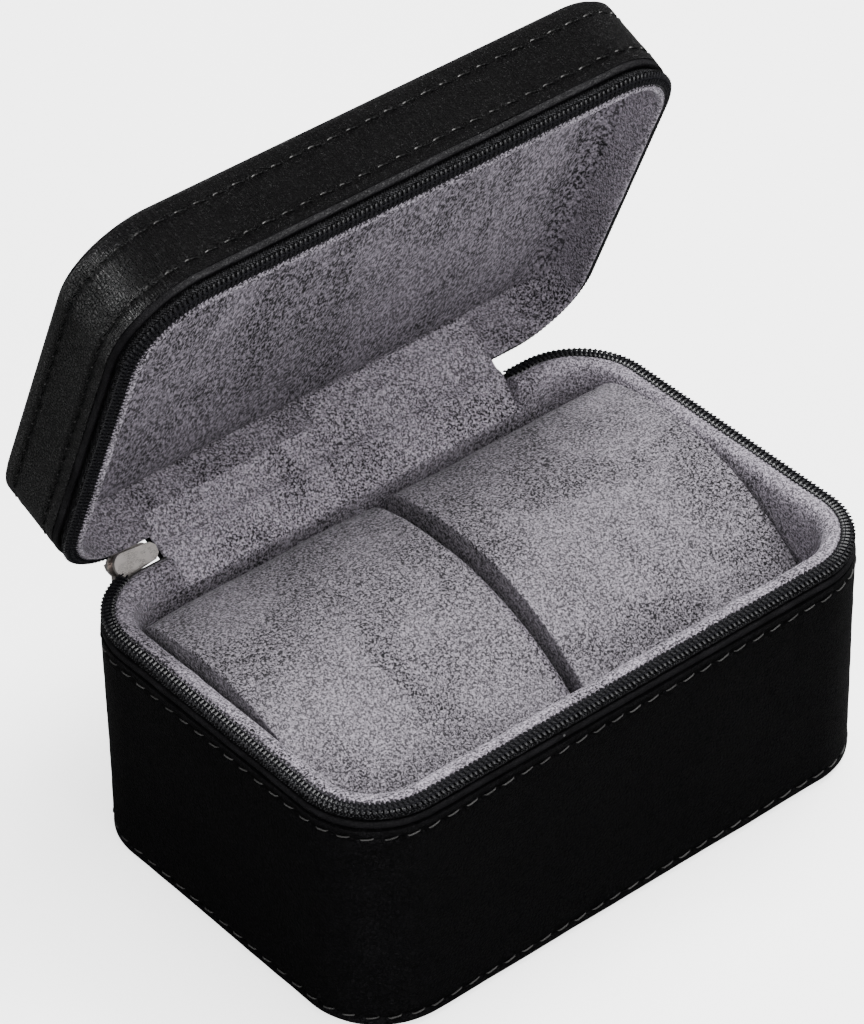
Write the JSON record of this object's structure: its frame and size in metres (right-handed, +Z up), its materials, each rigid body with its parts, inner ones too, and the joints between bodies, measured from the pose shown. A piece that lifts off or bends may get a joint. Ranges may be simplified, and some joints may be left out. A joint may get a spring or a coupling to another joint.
{
  "type": "watch_travel_case",
  "caption": "Zip-round travel case for watches in black pebbled leather, lid standing open, grey suede lining, removable pillows either side of a divider",
  "frame": {"origin": "centre of the flat underside of the bottom panel", "axes": "+X along the hinge, to the right in the picture; +Y towards the hinge at the back; +Z up, out of the underside"},
  "size_m": [0.1336, 0.1125, 0.1434],
  "materials": {
    "leather_body": "black pebbled satin leather",
    "leather_panel": "black pebbled satin leather, flat panel",
    "leather_edge": "black leather rolled over a cord, polished by handling",
    "suede": "grey suede with a short brushed nap",
    "pillow_suede": "grey suede pulled over a soft pad",
    "zip_tape": "black herringbone woven tape",
    "zip_coil": "black nylon coil",
    "slider_metal": "brushed steel",
    "board": "grey-brown fibre board",
    "foam": "open-cell foam"
  },
  "bodies": {
    "base": {"base_shell": "board", "base_leather_wrap": "leather_body", "base_bottom_panel": "leather_panel", "base_edge_roll": "leather_edge", "base_zip_tape": "zip_tape", "base_zip_teeth": "zip_coil", "base_wall_padding": "foam", "base_wall_lining": "suede", "base_floor_padding": "foam", "base_floor_lining": "suede", "divider_board": "board", "divider_lining": "suede", "hinge_leather": "leather_body", "hinge_lining": "suede", "hinge_flap": "suede", "zip_slider": "slider_metal"},
    "pull": {"zip_pull": "slider_metal"},
    "lid": {"lid_shell": "board", "lid_leather_wrap": "leather_body", "lid_top_panel": "leather_panel", "lid_edge_roll": "leather_edge", "lid_zip_tape": "zip_tape", "lid_zip_teeth": "zip_coil", "lid_padding": "foam", "lid_wall_lining": "suede", "lid_panel_lining": "suede"},
    "pillow_left": {"pillow_left_cover": "pillow_suede", "pillow_left_core": "foam"},
    "pillow_right": {"pillow_right_cover": "pillow_suede", "pillow_right_core": "foam"}
  },
  "joints": [
    {"name": "lid_hinge", "type": "hinge", "parent": "base", "child": "lid", "pos_m": [0, 0.0453, 0.0516], "axis": [-1, 0, 0], "range_deg": [-67.5, 27.5], "deforming": ["hinge_leather", "hinge_lining", "hinge_flap"]},
    {"name": "pull_swing", "type": "hinge", "parent": "base", "child": "pull", "pos_m": [-0.0484, 0.04936, 0.05156], "axis": [1, 0, 0], "range_deg": [-8, 80]},
    {"name": "pillow_left_lift", "type": "slide", "parent": "base", "child": "pillow_left", "axis": [0, 0, 1], "range_m": [0, 0.0075]},
    {"name": "pillow_right_lift", "type": "slide", "parent": "base", "child": "pillow_right", "axis": [0, 0, 1], "range_m": [0, 0.0075]}
  ]
}
